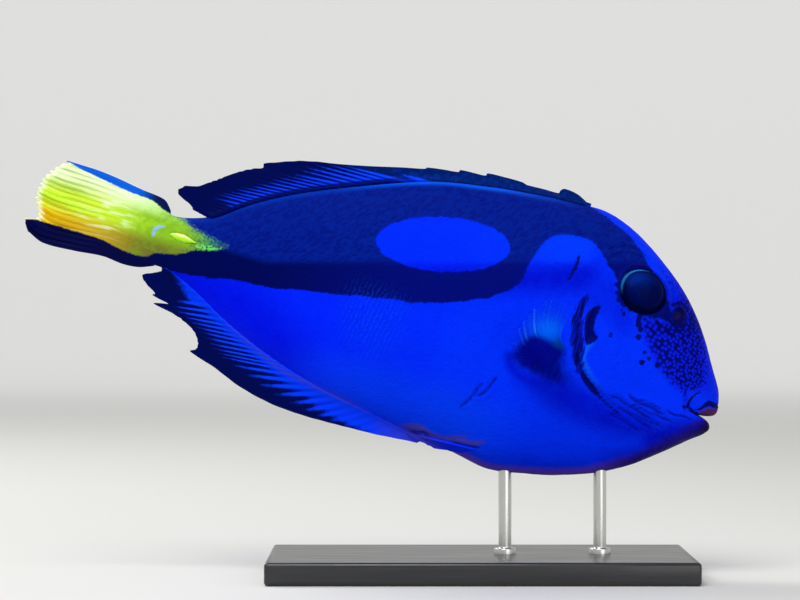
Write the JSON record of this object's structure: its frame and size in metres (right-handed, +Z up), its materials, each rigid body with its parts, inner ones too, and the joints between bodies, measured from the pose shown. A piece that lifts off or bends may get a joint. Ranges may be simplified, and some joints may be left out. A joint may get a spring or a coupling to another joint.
{
  "type": "regal blue tang",
  "caption": "Life-size model of a regal blue tang swimming nose down, with its fins half folded, held over a flat base by short steel rods.",
  "frame": {"origin": "middle of the underside of the stand's base", "axes": "+X towards the fish's head along the stand, +Z up, +Y to the fish's left"},
  "size_m": [0.2141, 0.0938, 0.1279],
  "materials": {
    "skin": "satin fish skin, vivid blue with a dark navy band",
    "fin": "ribbed fin membrane, blue at the root and navy at the edge",
    "tail": "ribbed fin membrane, bright yellow with black edges",
    "eye": "wet gloss, near black with a blue sheen",
    "bone": "smooth spine, pale yellow",
    "base": "black lacquered wood, satin",
    "steel": "brushed along the rod"
  },
  "bodies": {
    "root": {"head": "skin", "lower_jaw": "skin", "gill_cover_left": "skin", "gill_cover_right": "skin", "trunk": "skin", "tail_stalk": "skin", "dorsal_fin": "fin", "anal_fin": "fin", "pectoral_fin_left": "fin", "pectoral_fin_right": "fin", "pelvic_fin_left": "fin", "pelvic_fin_right": "fin", "tail_fin": "tail", "eye_left": "eye", "eye_right": "eye", "tail_spine_left": "bone", "tail_spine_right": "bone", "stand_base": "base", "stand_rod_front": "steel", "stand_rod_rear": "steel"}
  },
  "joints": []
}
